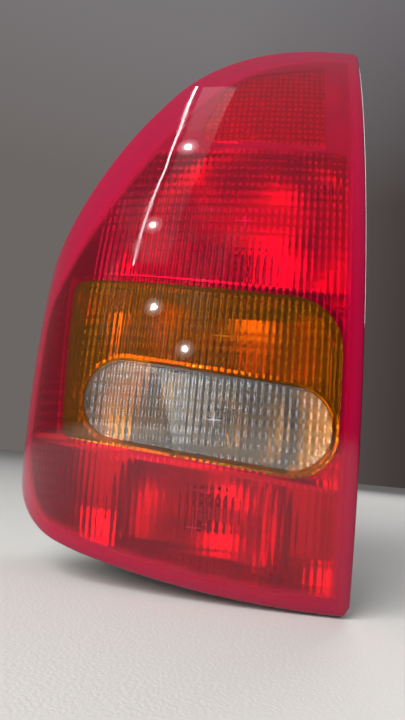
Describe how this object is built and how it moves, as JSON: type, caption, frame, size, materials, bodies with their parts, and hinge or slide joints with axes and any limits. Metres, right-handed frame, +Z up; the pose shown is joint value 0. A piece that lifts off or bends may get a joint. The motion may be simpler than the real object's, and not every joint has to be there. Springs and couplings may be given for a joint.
{
  "type": "tail light cluster",
  "caption": "Wrap-round rear lamp with fluted red, amber and clear lens over a metallised reflector, rear bulb carrier and mounting studs.",
  "frame": {"origin": "centre of the four lower studs on the plane where the gasket meets the car body", "axes": "+X to the centre of the car, +Y forward into the car body along the studs, +Z up along the straight inner edge"},
  "size_m": [0.2024, 0.133, 0.3624],
  "materials": {
    "red_lens": "clear red moulded acrylic, polished outside",
    "amber_lens": "clear amber moulded acrylic, polished outside",
    "clear_lens": "clear moulded acrylic, polished outside",
    "reflex_red": "clear red moulded acrylic with prisms",
    "bright_reflector": "vacuum metallised plastic",
    "housing": "dark grey moulded plastic",
    "foam_seal": "closed cell foam",
    "zinc_steel": "zinc plated steel",
    "carrier": "black glass filled plastic",
    "contact_brass": "stamped brass strip",
    "bulb_glass": "clear lamp glass",
    "bulb_glass_amber": "amber lamp glass",
    "cap_brass": "drawn brass cap",
    "filament_wire": "tungsten coil on steel leads"
  },
  "bodies": {
    "root": {"red_lens": "red_lens", "amber_lens": "amber_lens", "clear_lens": "clear_lens", "reflex_reflector": "reflex_red", "reflector": "bright_reflector", "housing": "housing", "mounting_gasket": "foam_seal", "mounting_studs": "zinc_steel", "reflector_screws": "zinc_steel", "carrier_seal": "foam_seal", "bulb_carrier": "carrier", "contact_earth": "contact_brass", "contact_brake": "contact_brass", "contact_tail": "contact_brass", "contact_indicator": "contact_brass", "contact_reversing": "contact_brass", "contact_fog": "contact_brass", "bulb_tail_brake_glass": "bulb_glass", "bulb_tail_brake_cap": "cap_brass", "bulb_tail_brake_filament": "filament_wire", "bulb_indicator_glass": "bulb_glass_amber", "bulb_indicator_cap": "cap_brass", "bulb_indicator_filament": "filament_wire", "bulb_reversing_glass": "bulb_glass", "bulb_reversing_cap": "cap_brass", "bulb_reversing_filament": "filament_wire", "bulb_fog_glass": "bulb_glass", "bulb_fog_cap": "cap_brass", "bulb_fog_filament": "filament_wire"}
  },
  "joints": []
}
